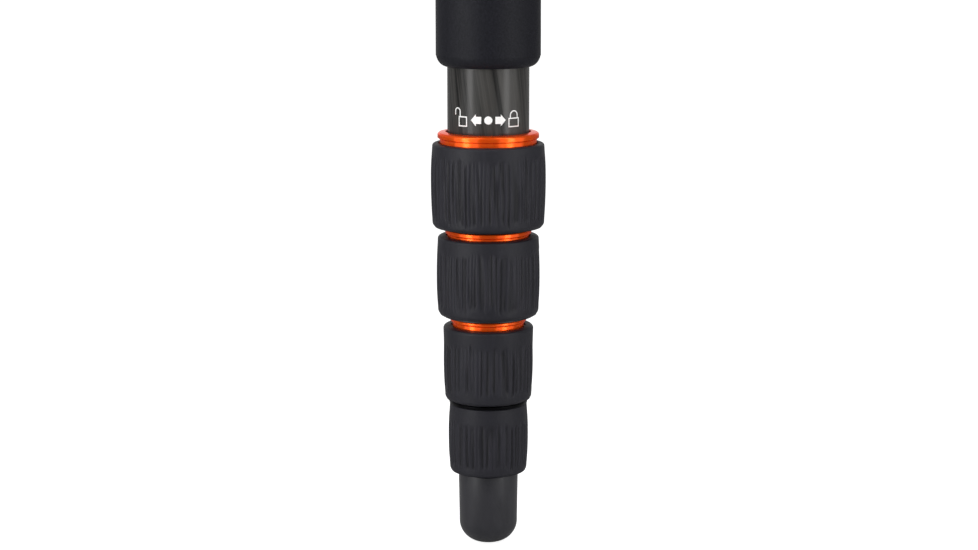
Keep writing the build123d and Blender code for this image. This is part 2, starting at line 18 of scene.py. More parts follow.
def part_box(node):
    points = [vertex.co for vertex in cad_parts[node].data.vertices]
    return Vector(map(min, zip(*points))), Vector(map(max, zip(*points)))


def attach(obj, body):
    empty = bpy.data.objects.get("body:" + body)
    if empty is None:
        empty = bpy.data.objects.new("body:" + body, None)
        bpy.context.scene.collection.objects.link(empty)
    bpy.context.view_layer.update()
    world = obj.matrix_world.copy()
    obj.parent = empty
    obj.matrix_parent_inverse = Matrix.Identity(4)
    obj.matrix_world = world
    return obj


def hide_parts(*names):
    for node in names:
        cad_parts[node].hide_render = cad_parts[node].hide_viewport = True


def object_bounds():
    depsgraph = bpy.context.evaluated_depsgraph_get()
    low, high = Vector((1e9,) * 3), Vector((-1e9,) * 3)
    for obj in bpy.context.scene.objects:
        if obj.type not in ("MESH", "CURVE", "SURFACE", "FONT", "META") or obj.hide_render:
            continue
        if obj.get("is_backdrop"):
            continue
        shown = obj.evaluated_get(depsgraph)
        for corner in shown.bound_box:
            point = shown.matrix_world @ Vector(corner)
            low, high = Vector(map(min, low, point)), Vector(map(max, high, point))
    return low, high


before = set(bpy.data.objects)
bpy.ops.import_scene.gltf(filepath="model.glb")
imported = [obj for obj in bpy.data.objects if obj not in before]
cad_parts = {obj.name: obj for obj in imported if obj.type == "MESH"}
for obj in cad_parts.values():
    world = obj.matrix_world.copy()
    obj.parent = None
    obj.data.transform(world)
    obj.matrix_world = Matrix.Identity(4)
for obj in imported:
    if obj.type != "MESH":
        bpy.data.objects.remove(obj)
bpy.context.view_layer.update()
MM = 0.001

# %% [markdown]
# ## The camera
#
# A lens in front of a round leg shows each ring as an ellipse, and how open the ellipse is tells
# how far the lens looks down. The rings here give a lens of about 73 mm, 0.68 m away and tilted
# 10.6 degrees down, so the top of the leg runs out of the picture. Depth of field stays off.

# %% Set up the camera
scene = bpy.context.scene
LENS = 73.1
SENSOR_WIDTH = 36.0
CAMERA_PLACE = Vector((0.00024, -0.6765, 0.2221))
CAMERA_TILT = radians(10.6)

camera_data = bpy.data.cameras.new("studio_camera")
camera_data.lens = LENS
camera_data.sensor_width = SENSOR_WIDTH
camera = bpy.data.objects.new("studio_camera", camera_data)
camera.location = CAMERA_PLACE
camera.rotation_euler = Euler((pi / 2 - CAMERA_TILT, 0, 0))
scene.collection.objects.link(camera)
scene.camera = camera
scene.view_settings.view_transform = "Standard"
print("camera looks down", round(CAMERA_TILT * 180 / pi, 1), "degrees")

# %% [markdown]
# ## Helpers for nodes
#
# A material is a small network of nodes. A few helpers keep the cells short: they add a node and
# plug in its inputs, start a finish with plain numbers on the shader's own sockets, do sums on
# patterns, and turn a pattern into a colour, a roughness or bumps. The patterns read Object
# coordinates, so they stay on the piece wherever it moves.

# %% Add nodes and start a finish
def add_node(tree, kind, inputs=None, **settings):
    """Adds one node, sets it up, and gives each input a value or the socket that feeds it."""
    node = tree.nodes.new(kind)
    for key, value in settings.items():
        setattr(node, key, value)
    for key, value in (inputs or {}).items():
        if isinstance(value, bpy.types.NodeSocket):
            tree.links.new(value, node.inputs[key])
        else:
            node.inputs[key].default_value = value
    return node


def sums(tree, operation, first, second):
    """Result of a sum on two numbers or patterns."""
    return add_node(tree, "ShaderNodeMath", {0: first, 1: second}, operation=operation).outputs[0]


def start_finish(name, sockets):
    """Makes a material with a principled shader and sets the shader's plain sockets."""
    material = bpy.data.materials.new(name)
    material.use_nodes = True
    tree = material.node_tree
    shader = tree.nodes["Principled BSDF"]
    for key, value in sockets.items():
        shader.inputs[key].default_value = value
    place = add_node(tree, "ShaderNodeTexCoord").outputs["Object"]
    return material, tree, shader, place


def grain_of(tree, place, stretch, detail=3.0, roughness=0.5):
    """Noise whose speckles per metre along each axis are given by stretch."""
    scaled = add_node(tree, "ShaderNodeMapping", {"Vector": place, "Scale": stretch})
    return add_node(
        tree,
        "ShaderNodeTexNoise",
        {"Vector": scaled.outputs[0], "Scale": 1.0, "Detail": detail, "Roughness": roughness},
    ).outputs["Fac"]


def tint(tree, value, low, high, dark, light):
    """Colours a pattern from dark at its low value to light at its high value."""
    ramp = add_node(tree, "ShaderNodeValToRGB", {"Fac": value})
    ramp.color_ramp.elements[0].position = low
    ramp.color_ramp.elements[0].color = (*dark, 1)
    ramp.color_ramp.elements[1].position = high
    ramp.color_ramp.elements[1].color = (*light, 1)
    return ramp.outputs["Color"]


def spread(tree, value, low, high, start, end):
    """Maps a pattern's range onto another range, such as a range of roughness."""
    return add_node(
        tree,
        "ShaderNodeMapRange",
        {"Value": value, "From Min": low, "From Max": high, "To Min": start, "To Max": end},
    ).outputs["Result"]


def raise_bumps(tree, shader, value, height):
    """Turns a pattern into bumps of a given height in metres."""
    bump = add_node(
        tree, "ShaderNodeBump", {"Height": value, "Distance": height, "Strength": 1.0}
    )
    tree.links.new(bump.outputs["Normal"], shader.inputs["Normal"])


print("helpers for nodes ready")

# %% [markdown]
# ## The studio
#
# The photograph is a product shot on white: a white floor and background, a tall softbox on each
# side of the lens, and a darker room behind the lens. The dark room is what gives each tube its
# dark middle between two soft bright bands, and the white background lights the very edges. The
# floor is painted a plain pale grey and glows for the camera, so that it reads white there and
# lights the leg no more than the paint does. Reflections see the glow too, but only well behind
# the leg, where the real sweep is white. The paint still takes the leg's shadow.

# %% Lay the white floor
FLOOR_SIZE = 14.0
FLOOR_GLOW = 0.88
FLOOR_DARK = (0.52, 0.52, 0.52)
FLOOR_LIGHT = (0.55, 0.55, 0.55)
SWEEP_STARTS, SWEEP_WHITE = 1.2, 6.0

paint = bpy.data.materials.new("white_floor_paint")
paint.use_nodes = True
tree = paint.node_tree
tree.nodes.clear()
speck = add_node(tree, "ShaderNodeTexNoise", {"Scale": 6.0})
floor_colour = tint(tree, speck.outputs["Fac"], 0.3, 0.7, FLOOR_DARK, FLOOR_LIGHT)
diffuse = add_node(tree, "ShaderNodeBsdfDiffuse", {"Color": floor_colour})
rays = add_node(tree, "ShaderNodeLightPath").outputs
mirrored = sums(tree, "MAXIMUM", rays["Is Transmission Ray"], rays["Is Glossy Ray"])
place = add_node(tree, "ShaderNodeTexCoord").outputs["Object"]
depth = add_node(tree, "ShaderNodeSeparateXYZ", {"Vector": place}).outputs["Y"]
behind = spread(tree, depth, SWEEP_STARTS, SWEEP_WHITE, 0.0, 1.0)
mirrored_behind = sums(tree, "MULTIPLY", mirrored, behind)
seen_all = sums(tree, "MAXIMUM", rays["Is Camera Ray"], mirrored_behind)
glow_level = sums(tree, "MULTIPLY", seen_all, FLOOR_GLOW)
glow = add_node(tree, "ShaderNodeEmission", {"Color": (1, 1, 1, 1), "Strength": glow_level})
both = add_node(tree, "ShaderNodeAddShader", {0: diffuse.outputs[0], 1: glow.outputs[0]})
add_node(tree, "ShaderNodeOutputMaterial", {"Surface": both.outputs[0]})

mesh = bmesh.new()
bmesh.ops.create_grid(mesh, x_segments=8, y_segments=8, size=FLOOR_SIZE / 2)
floor_data = bpy.data.meshes.new("studio_floor")
mesh.to_mesh(floor_data)
mesh.free()
floor_data.materials.append(paint)
floor = bpy.data.objects.new("studio_floor", floor_data)
scene.collection.objects.link(floor)
floor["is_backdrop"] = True
print("floor", FLOOR_SIZE, "m wide")

# %% [markdown]
# The world stands in for the white sweep behind the leg and the darker room behind the lens. The
# sky's direction picks its brightness: white straight behind the leg, less bright overhead and dim
# everywhere else. The room is also brighter on the left of the lens than on its right, as the leg's
# two edges show. The camera itself always sees plain white.

# %% Light the room with a soft sweep
ROOM_DIM = 0.4
ROOM_ABOVE = 0.6
ROOM_WHITE = 1.0
ROOM_LEFT = 1.12
ROOM_RIGHT = 0.7
BACK_STARTS, BACK_FULL = 0.72, 0.99
ABOVE_STARTS, ABOVE_FULL = 0.5, 1.0
SIDE_REACH = 0.6

world = bpy.data.worlds.new("white_sweep")
scene.world = world
world.use_nodes = True
tree = world.node_tree
tree.nodes.clear()
direction = add_node(tree, "ShaderNodeTexCoord").outputs["Generated"]
parts = add_node(tree, "ShaderNodeSeparateXYZ", {"Vector": direction}).outputs
level = spread(tree, parts["Y"], BACK_STARTS, BACK_FULL, ROOM_DIM, ROOM_WHITE)
overhead = spread(tree, parts["Z"], ABOVE_STARTS, ABOVE_FULL, 0.0, ROOM_ABOVE)
even_room = sums(tree, "MAXIMUM", level, overhead)
side = spread(tree, parts["X"], -SIDE_REACH, SIDE_REACH, ROOM_LEFT, ROOM_RIGHT)
room = sums(tree, "MULTIPLY", even_room, side)
seen_plain = add_node(tree, "ShaderNodeLightPath").outputs["Is Camera Ray"]
strength = sums(tree, "MAXIMUM", room, seen_plain)
sky = add_node(tree, "ShaderNodeBackground", {"Color": (1, 1, 1, 1), "Strength": strength})
add_node(tree, "ShaderNodeOutputWorld", {"Surface": sky.outputs[0]})
print("room level", ROOM_DIM, "to", ROOM_WHITE)

# %% [markdown]
# A tall softbox stands about 50 degrees to each side of the lens, close to the leg. Each is a wide
# dim panel with a narrower bright core, as a real softbox is brightest in front of its bulb. They
# are taller than the drawn-out leg, so every lock gets the same pair of bands. The list gives each
# one's angle to the right of the lens, its distance and width in metres, and its brightness.

# %% Stand the softboxes
STRIP_HEIGHT = 2.4
STRIP_BELOW = 0.3
STRIPS = {
    "left_panel": (-52, 0.31, 0.35, 0.95),
    "left_core": (-52, 0.30, 0.085, 3.7),
    "right_panel": (55, 0.31, 0.38, 0.8),
    "right_core": (52, 0.30, 0.085, 2.6),
}


def stand_strip(name, angle, distance, width, brightness):
    """Stands an upright softbox at an angle to the right of the lens, facing the leg."""
    light = bpy.data.lights.new(name, "AREA")
    light.shape = "RECTANGLE"
    light.size = width
    light.size_y = STRIP_HEIGHT
    light.energy = brightness * pi * width * STRIP_HEIGHT
    lamp = bpy.data.objects.new(name, light)
    lamp.location = (
        distance * sin(radians(angle)),
        -distance * cos(radians(angle)),
        STRIP_HEIGHT / 2 - STRIP_BELOW,
    )
    lamp.rotation_euler = Euler((pi / 2, 0, radians(angle)))
    lamp.visible_camera = False
    scene.collection.objects.link(lamp)
    print(name, "at", angle, "degrees, brightness", brightness)


for name, setting in STRIPS.items():
    stand_strip(name, *setting)

# %% [markdown]
# ## Carbon tube
#
# The tubes are wound from carbon tape and varnished. The photograph shows no woven squares, only
# upright streaks that lean a few degrees, because each band of tape catches the light at its own
# brightness. A cell pattern around the tube gives every tape its own grey, noise stretched along
# the leg varies it within the tape, and a finer noise draws the single fibres. Turning all three a
# little with height makes them lean. The shader's thin coat is the varnish.

# %% Mix the carbon finish
TAPE_LEAN = 11.0
TAPE_COUNT = 27
TAPE_BANDS = (330.0, 330.0, 9.0)
FIBRES = (2600.0, 2600.0, 22.0)
TAPE_SHARE = 0.4
FIBRE_SHARE = 0.35
CARBON_DARK = (0.005, 0.005, 0.005)
CARBON_LIGHT = (0.055, 0.053, 0.050)
FIBRE_HEIGHT = 0.01 * MM

carbon, tree, shader, place = start_finish(
    "varnished_carbon",
    {"Specular IOR Level": 0.05, "Coat Weight": 0.5, "Coat Roughness": 0.2, "Coat IOR": 1.48},
)
height = add_node(tree, "ShaderNodeSeparateXYZ", {"Vector": place}).outputs["Z"]
lean = sums(tree, "MULTIPLY", height, TAPE_LEAN)
leaning = add_node(
    tree,
    "ShaderNodeVectorRotate",
    {"Vector": place, "Angle": lean},
    rotation_type="Z_AXIS",
).outputs[0]
leaning_parts = add_node(tree, "ShaderNodeSeparateXYZ", {"Vector": leaning}).outputs
turned = sums(tree, "ARCTAN2", leaning_parts["Y"], leaning_parts["X"])
tape = add_node(
    tree,
    "ShaderNodeTexVoronoi",
    {"W": turned, "Scale": TAPE_COUNT / (2 * pi)},
    voronoi_dimensions="1D",
).outputs["Color"]
bands = grain_of(tree, leaning, TAPE_BANDS, detail=2.0)
fibres = grain_of(tree, leaning, FIBRES, detail=2.0)
tapes_part = sums(tree, "MULTIPLY", tape, TAPE_SHARE)
fibres_part = sums(tree, "MULTIPLY", fibres, FIBRE_SHARE)
streaks = sums(tree, "ADD", sums(tree, "ADD", tapes_part, fibres_part), bands)
colour = tint(tree, streaks, 0.62, 1.12, CARBON_DARK, CARBON_LIGHT)
tree.links.new(colour, shader.inputs["Base Color"])
tree.links.new(spread(tree, streaks, 0.6, 1.1, 0.42, 0.26), shader.inputs["Roughness"])
raise_bumps(tree, shader, fibres, FIBRE_HEIGHT)
print("carbon tape leans", TAPE_LEAN, "radians per metre")

# %% [markdown]
# ## Rubber and foam
#
# Moulded rubber is never one flat black. The locks' rubber has a fine matt skin from the mould.
# Its colour is darker in the grooves and lighter on the ridges, which is painted shade in the
# grooves and a painted highlight on the ridges. The sleeve's own attribute says where the ridges
# are, so the painted shade and highlight follow the relief exactly. Slow noise adds a little dust,
# and upright streaks go with the grain.

# %% Mix the rubber of the locks
RELIEF_SHADING_SHARE = 0.7
DUST_SHARE = 0.35
STREAK_SHARE = 0.25
LOCK_DARK = (0.004, 0.004, 0.006)
LOCK_LIGHT = (0.0180, 0.0176, 0.0240)
LOCK_SKIN_HEIGHT = 0.03 * MM

lock_rubber, tree, shader, place = start_finish(
    "ridged_lock_rubber", {"Specular IOR Level": 0.24}
)
relief = add_node(tree, "ShaderNodeAttribute", attribute_name="relief").outputs["Fac"]
skin = grain_of(tree, place, (2600.0, 2600.0, 2600.0), detail=4.0)
dust = grain_of(tree, place, (160.0, 160.0, 60.0), detail=3.0)
streaky = grain_of(tree, place, (900.0, 900.0, 40.0), detail=2.0)
# Painted shade in the grooves and a painted highlight on the ridges, taken from the relief
# attribute.
painted_relief_shading = sums(tree, "MULTIPLY", relief, RELIEF_SHADING_SHARE)
dusty = sums(tree, "MULTIPLY", dust, DUST_SHARE)
streaked = sums(tree, "MULTIPLY", streaky, STREAK_SHARE)
shading_dust_and_streaks = sums(tree, "ADD", painted_relief_shading, sums(tree, "ADD", dusty, streaked))
colour = tint(tree, shading_dust_and_streaks, 0.25, 1.05, LOCK_DARK, LOCK_LIGHT)
tree.links.new(colour, shader.inputs["Base Color"])
tree.links.new(spread(tree, dust, 0.3, 0.7, 0.46, 0.58), shader.inputs["Roughness"])
raise_bumps(tree, shader, skin, LOCK_SKIN_HEIGHT)
print("lock rubber mixed")

# %% [markdown]
# The foot is the same kind of rubber from a polished mould, so its skin is smoother and shines
# more. It stands on the ground and gets scuffed, and slow noise stretched upwards draws the scuffs
# in its colour and its shine.

# %% Mix the rubber of the foot
FOOT_DARK = (0.009, 0.009, 0.013)
FOOT_LIGHT = (0.017, 0.0165, 0.0215)
FOOT_SKIN_HEIGHT = 0.02 * MM

foot_rubber, tree, shader, place = start_finish(
    "satin_foot_rubber", {"Specular IOR Level": 0.5}
)
skin = grain_of(tree, place, (1900.0, 1900.0, 1900.0), detail=3.0)
scuffs = grain_of(tree, place, (220.0, 220.0, 90.0), detail=4.0)
colour = tint(tree, scuffs, 0.3, 0.75, FOOT_DARK, FOOT_LIGHT)
tree.links.new(colour, shader.inputs["Base Color"])
tree.links.new(spread(tree, scuffs, 0.3, 0.75, 0.30, 0.42), shader.inputs["Roughness"])
raise_bumps(tree, shader, skin, FOOT_SKIN_HEIGHT)
print("foot rubber mixed")

# %% [markdown]
# Closed-cell foam is softer, darker and bluer than the rubber and full of tiny pores. Fine noise
# with much detail serves for both: it sinks the pores with a bump and darkens them in the colour,
# which is painted shade in the pores.

# %% Mix the foam
FOAM_DARK = (0.0035, 0.0037, 0.0062)
FOAM_LIGHT = (0.0085, 0.0087, 0.0128)
PORE_HEIGHT = 0.08 * MM

foam, tree, shader, place = start_finish(
    "closed_cell_foam", {"Specular IOR Level": 0.16}
)
pores_and_pore_shade = grain_of(tree, place, (1500.0, 1500.0, 1500.0), detail=5.0, roughness=0.65)
blotches = grain_of(tree, place, (60.0, 60.0, 30.0), detail=3.0)
# The colour is darker where the pores sink: painted shade in the pores.
colour = tint(tree, pores_and_pore_shade, 0.32, 0.62, FOAM_DARK, FOAM_LIGHT)
tree.links.new(colour, shader.inputs["Base Color"])
tree.links.new(spread(tree, blotches, 0.3, 0.7, 0.46, 0.58), shader.inputs["Roughness"])
raise_bumps(tree, shader, pores_and_pore_shade, PORE_HEIGHT)
print("foam mixed")

# %% [markdown]
# ## Anodised and bare metal
#
# Turned aluminium keeps fine rings from the lathe. Noise squeezed along the leg's axis and almost
# constant around it makes them. Anodising dyes the metal, so the orange is a metal colour with
# very little green and almost no blue: a dim reflection is red and a bright one turns to orange.
# A thin coat stands for the clear sealed skin on the dye. The fourth lock's neck is a deeper, more
# matt black than the head's.

# %% Mix the turned metals
LATHE_HEIGHT = 0.003 * MM


def turned_metal(name, dark, light, rough, lathe=9000.0, sockets=None):
    """Metal with fine lathe rings, a slightly cloudy dye and a given roughness range."""
    material, tree, shader, place = start_finish(name, {"Metallic": 1.0, **(sockets or {})})
    rings = grain_of(tree, place, (40.0, 40.0, lathe), detail=2.0)
    clouds = grain_of(tree, place, (300.0, 300.0, 900.0), detail=3.0)
    tree.links.new(tint(tree, clouds, 0.3, 0.7, dark, light), shader.inputs["Base Color"])
    tree.links.new(spread(tree, rings, 0.3, 0.7, *rough), shader.inputs["Roughness"])
    raise_bumps(tree, shader, rings, LATHE_HEIGHT)
    return material


orange = turned_metal(
    "orange_anodised", (0.97, 0.088, 0.003), (1.0, 0.115, 0.005), (0.17, 0.23),
    sockets={
        "Metallic": 0.68,
        "Specular IOR Level": 0.2,
        "Specular Tint": (1.0, 0.35, 0.3, 1.0),
        "Coat Weight": 0.25,
        "Coat Roughness": 0.06,
        "Coat IOR": 1.5,
    },
)
black_metal = turned_metal(
    "black_anodised", (0.035, 0.035, 0.038), (0.05, 0.05, 0.054), (0.30, 0.42)
)
matt_black_metal = turned_metal(
    "matt_black_anodised", (0.004, 0.004, 0.0045), (0.006, 0.006, 0.0065), (0.36, 0.46)
)
steel = turned_metal("turned_steel", (0.50, 0.50, 0.51), (0.62, 0.62, 0.62), (0.22, 0.34))
black_steel = turned_metal(
    "black_oxide_steel", (0.045, 0.043, 0.042), (0.08, 0.078, 0.075), (0.34, 0.48), lathe=3000.0
)
print("five metals mixed")

# %% [markdown]
# ## Plastic, felt, pad and ink
#
# The collets are off-white acetal and the guides black nylon, both with the faint flow marks of
# moulding. The seals are felt, the head's pad is a dull hard rubber, and the marks on the tube are
# pad-printed white ink. One helper mixes them all from a mottled noise of the right size.

# %% Mix the small finishes
def moulded(name, dark, light, rough, size, bump, sockets=None):
    """A cast or moulded stuff with a mottled colour and fine bumps of one size."""
    material, tree, shader, place = start_finish(name, sockets or {})
    mottle = grain_of(tree, place, (size, size, size), detail=4.0)
    tree.links.new(tint(tree, mottle, 0.3, 0.7, dark, light), shader.inputs["Base Color"])
    tree.links.new(spread(tree, mottle, 0.3, 0.7, *rough), shader.inputs["Roughness"])
    raise_bumps(tree, shader, mottle, bump)
    return material


acetal = moulded(
    "acetal", (0.60, 0.60, 0.55), (0.74, 0.74, 0.69), (0.35, 0.45), 500.0, 0.01 * MM
)
nylon = moulded(
    "black_nylon", (0.02, 0.02, 0.021), (0.035, 0.035, 0.036), (0.42, 0.55), 700.0, 0.02 * MM
)
felt = moulded(
    "wiper_felt", (0.018, 0.018, 0.019), (0.05, 0.05, 0.052), (0.9, 1.0), 3500.0, 0.1 * MM,
    {"Sheen Weight": 0.4},
)
pad_rubber = moulded(
    "ribbed_pad_rubber", (0.018, 0.018, 0.019), (0.032, 0.032, 0.034), (0.6, 0.75), 1800.0,
    0.05 * MM,
)
ink = moulded(
    "white_ink", (0.80, 0.80, 0.79), (0.88, 0.88, 0.87), (0.4, 0.5), 4000.0, 0.004 * MM
)
print("small finishes mixed")

# %% [markdown]
# ## Turning a piece
#
# Almost every piece of the leg is round, so it is made as on a lathe: a few corners of its outline
# are spun once around the leg's axis, and its rims are then rounded with a bevel. Real rims are
# never perfectly sharp, and the small rounding is what catches the light. A piece is joined to the
# body it moves with as soon as it is finished, and it stands a hair clear of what it fits on.

# %% Make the lathe
SNAP = 0.001 * MM
SHARP_ANGLE = radians(38)
FIT_GAP = 0.05 * MM


def rim(mesh, radius, height):
    """Edges of the round rim at one radius and height."""
    def on_rim(vert):
        return abs(hypot(vert.co.x, vert.co.y) - radius) < SNAP and abs(vert.co.z - height) < SNAP

    return [edge for edge in mesh.edges if all(on_rim(vert) for vert in edge.verts)]


def round_rim(mesh, radius, height, size, segments=4):
    """Rounds one rim with a bevel."""
    bmesh.ops.bevel(
        mesh,
        geom=rim(mesh, radius, height),
        offset=size,
        affect="EDGES",
        segments=segments,
        profile=0.5,
        material=-1,
    )


def turn(outline, rounding=None, steps=192, closed=True):
    """Spins corners given as (radius, height) around the axis and rounds some of their rims.

    rounding gives the bevel of each corner by its place in the outline.
    """
    mesh = bmesh.new()
    corners = [mesh.verts.new((radius, 0, height)) for radius, height in outline]
    following = corners[1:] + corners[:1] if closed else corners[1:]
    lines = [mesh.edges.new(ends) for ends in zip(corners, following)]
    bmesh.ops.spin(
        mesh,
        geom=corners + lines,
        cent=(0, 0, 0),
        axis=(0, 0, 1),
        dvec=(0, 0, 0),
        angle=2 * pi,
        steps=steps,
        use_merge=True,
    )
    bmesh.ops.remove_doubles(mesh, verts=mesh.verts, dist=SNAP / 10)
    bmesh.ops.recalc_face_normals(mesh, faces=mesh.faces)
    for corner, size in (rounding or {}).items():
        round_rim(mesh, *outline[corner], size)
    return mesh


def hand_over(mesh, name, body, finish, nodes=()):
    """Makes a mesh an object of the scene that rides on a body and stands for CAD nodes."""
    for face in mesh.faces:
        face.smooth = True
    for edge in mesh.edges:
        edge.smooth = edge.calc_face_angle(0) < SHARP_ANGLE
    data = bpy.data.meshes.new(name)
    mesh.to_mesh(data)
    mesh.free()
    data.materials.append(finish)
    piece = bpy.data.objects.new(name, data)
    scene.collection.objects.link(piece)
    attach(piece, body)
    if nodes:
        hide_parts(*nodes)
    triangles = sum(len(face.vertices) - 2 for face in data.polygons)
    print(f"{name}: {triangles} triangles")
    return piece


def size_of(node):
    """Outer radius, lowest and highest point of a round CAD node."""
    low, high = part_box(node)
    return high[0], low[2], high[2]


print("lathe ready")

# %% [markdown]
# ## The five tubes
#
# Each tube is turned as a thin-walled pipe with its cut ends slightly broken, as a saw and a file
# leave them. The tubes nest, and only a short stretch of the thickest shows when the leg is closed.

# %% Turn the tubes
TUBE_WALL = 1.2 * MM
CUT_END = 0.15 * MM

tube_radius = {}
for n in range(1, 6):
    radius, low, high = size_of(f"tube_{n}")
    tube_radius[n] = radius
    bore = radius - TUBE_WALL
    outline = [(bore, low), (radius, low), (radius, high), (bore, high)]
    pipe = turn(outline, {1: CUT_END, 2: CUT_END})
    hand_over(pipe, f"carbon_pipe_{n}", f"section_{n}", carbon, [f"tube_{n}"])

# %% [markdown]
# ## The rings
#
# The threaded sleeve of each of the upper three locks ends in an orange ring: a band, one fine
# groove and above it a slightly wider rim with its top edge cut away. The fourth ends in a black
# neck, a short stem under a thin brim. A shallow dark recess parts each ring from its tube. The
# ring is turned in one piece with the sleeve that is hidden in the lock, and its visible corners
# are rounded a little, each by its place in the outline.

# %% Turn the rings
GROOVE_ABOVE_LOCK = {1: 1.86, 2: 1.05, 3: 1.78}
RIM_CUT = {1: (0.55, 0.25), 2: (0.3, 0.1), 3: (0.3, 0.1)}
RIM_DEPTH = {1: 0.7, 2: 0.3, 3: 0.35}
BAND_CUT = 0.75 * MM
GROOVE_DEPTH = 1.3 * MM
GROOVE_HALF = 0.14 * MM
SLEEVE_WALL = 1.55 * MM
LIP_HEIGHT = 1.2 * MM
TUBE_GAP = 0.65 * MM
TUBE_GAP_DEPTH = 1.0 * MM
LIP_CLEARANCE = 0.3 * MM
RING_STARTS_BELOW = 0.3 * MM
NECK_STEM = 2.4 * MM
BRIM_GAP = 0.1 * MM
RING_ROUNDING = {14: 0.15 * MM, 13: 0.2 * MM, 9: 0.15 * MM, 12: 0.1 * MM}
NECK_ROUNDING = {10: 0.1 * MM, 11: 0.15 * MM}
RING_STEPS = 256

ring_radius = {}
for n in range(1, 5):
    outer, low, high = size_of(f"lock_fitting_{n}")
    lock_top = size_of(f"lock_grip_{n}")[2]
    bore = tube_radius[n] + FIT_GAP
    sleeve = tube_radius[n] + SLEEVE_WALL
    lip = tube_radius[n + 1] + LIP_CLEARANCE
    under = lock_top - RING_STARTS_BELOW
    inside = [
        (bore + TUBE_GAP, high),
        (bore + TUBE_GAP, high - TUBE_GAP_DEPTH),
        (bore, high - TUBE_GAP_DEPTH),
        (bore, low + LIP_HEIGHT),
        (lip, low + LIP_HEIGHT),
        (lip, low),
    ]
    neck = [(sleeve, low), (sleeve, under)]
    if n in GROOVE_ABOVE_LOCK:
        groove = lock_top + GROOVE_ABOVE_LOCK[n] * MM
        rim_cut, rim_drop = (size * MM for size in RIM_CUT[n])
        band = outer - BAND_CUT
        outside = [
            (band, under),
            (band, groove - GROOVE_HALF),
            (outer - GROOVE_DEPTH, groove - GROOVE_HALF),
            (outer - GROOVE_DEPTH, groove + GROOVE_HALF),
            (outer, groove + GROOVE_HALF),
            (outer, high - RIM_DEPTH[n] * MM),
            (outer - rim_cut, high - rim_drop),
        ]
        rounding, metal, slot = RING_ROUNDING, orange, "orange_anodised"
        ring_radius[n] = outer
    else:
        stem = tube_radius[n] + NECK_STEM
        brim = lock_top + BRIM_GAP
        outside = [(stem, under), (stem, brim), (outer, brim), (outer, high)]
        rounding, metal, slot = NECK_ROUNDING, matt_black_metal, "black_anodised"
        ring_radius[n] = stem
    ring = turn(inside + neck + outside, rounding, steps=RING_STEPS)
    hand_over(ring, f"lock_ring_{n}", f"section_{n}", metal, [f"lock_fitting_{n}"])

# %% [markdown]
# ## The wood-grain sleeves
#
# Each lock is turned by a rubber sleeve with upright ridges that wander like the grain of wood:
# they swell, split, close to points and stop short of a plain band at each end. A real mould is
# engraved by hand or from a drawing of wood. Here a wave runs around the sleeve, and slow noise
# pushes it to and fro, so that neighbouring ridges close up, part or pinch off into long lenses. A
# second, finer wave made in the same way lies over the first. Their depth moves the fine mesh in
# and out, and it is also kept as an attribute, from which the colour paints shade into the grooves
# and a highlight onto the ridges.
#
# Each kind of wandering is given as the width and length of its bends and its strength. A seed
# takes every noise from a place of its own, so no two sleeves are alike.

# %% Draw the wood grain
RIDGE_SPACING = 2.5 * MM
RIDGE_DEPTH = 0.40 * MM
FINE_SPACING = 1.45 * MM
FINE_SHARE = 0.4
COARSE_GROOVE = 0.85
FINE_GROOVE = 0.9
FADE_LENGTH = 2.4 * MM
SLOW_WANDER = (8.0 * MM, 110.0 * MM, 0.9)
QUICK_WANDER = (2.8 * MM, 42.0 * MM, 0.7)
DEPTH_WANDER = (2.6 * MM, 20.0 * MM, 1.0)
BAND_WANDER = (2.4 * MM, 1.0, 1.8 * MM)
GROOVE_FADES, GROOVE_FULL = -0.5, -0.1


def ease(value, start, end):
    """Goes smoothly from 0 at start to 1 at end."""
    part = min(1.0, max(0.0, (value - start) / (end - start)))
    return part * part * (3 - 2 * part)


def wander(direction, radius, height, seed, sizes):
    """Noise around the sleeve, with features of a given width and length, times its strength."""
    width, length, strength = sizes
    around = direction * (radius / width)
    return noise.noise(around + Vector((seed, -seed, height / length + seed))) * strength


def grooves(direction, radius, height, seed, spacing, width):
    """Wandering upright grooves, from 0 on the skin to 1 at the bottom of a groove."""
    ridges = round(2 * pi * radius / spacing)
    phase = atan2(direction.y, direction.x) / (2 * pi) * ridges
    phase += wander(direction, radius, height, seed, SLOW_WANDER)
    phase += wander(direction, radius, height, seed + 9, QUICK_WANDER)
    strength = wander(direction, radius, height, seed + 41, DEPTH_WANDER)
    strength = ease(strength, GROOVE_FADES, GROOVE_FULL)
    return strength * (1 - ease(0.5 + 0.5 * cos(2 * pi * phase), 0, width))


def wood_grain(direction, radius, height, low, high, seed):
    """Relief from 0 in a groove to 1 on a ridge, and how far the point is in the carved field."""
    coarse = grooves(direction, radius, height, seed, RIDGE_SPACING, COARSE_GROOVE)
    fine = grooves(direction, radius, height, seed + 63, FINE_SPACING, FINE_GROOVE)
    depth = coarse * (1 - FINE_SHARE) + fine * FINE_SHARE
    shift = wander(direction, radius, 0, seed + 23, BAND_WANDER)
    field = ease(height - low - shift, 0, FADE_LENGTH)
    field *= ease(high - height + shift, 0, FADE_LENGTH)
    return 1 - depth * field, field


print("grain drawn with ridges", RIDGE_SPACING / MM, "mm apart and", FINE_SPACING / MM, "mm apart")

# %% [markdown]
# The sleeves are not straight either: each has its own gentle barrel, given by its radius in
# millimetres at five even steps from the top edge to the bottom edge, with a smooth curve through
# them. Its two edges are rounded, and a thin lip of rubber closes in over the top towards the ring.
# The plain bands, above and below the grain, and the other sizes by lock are in millimetres too.

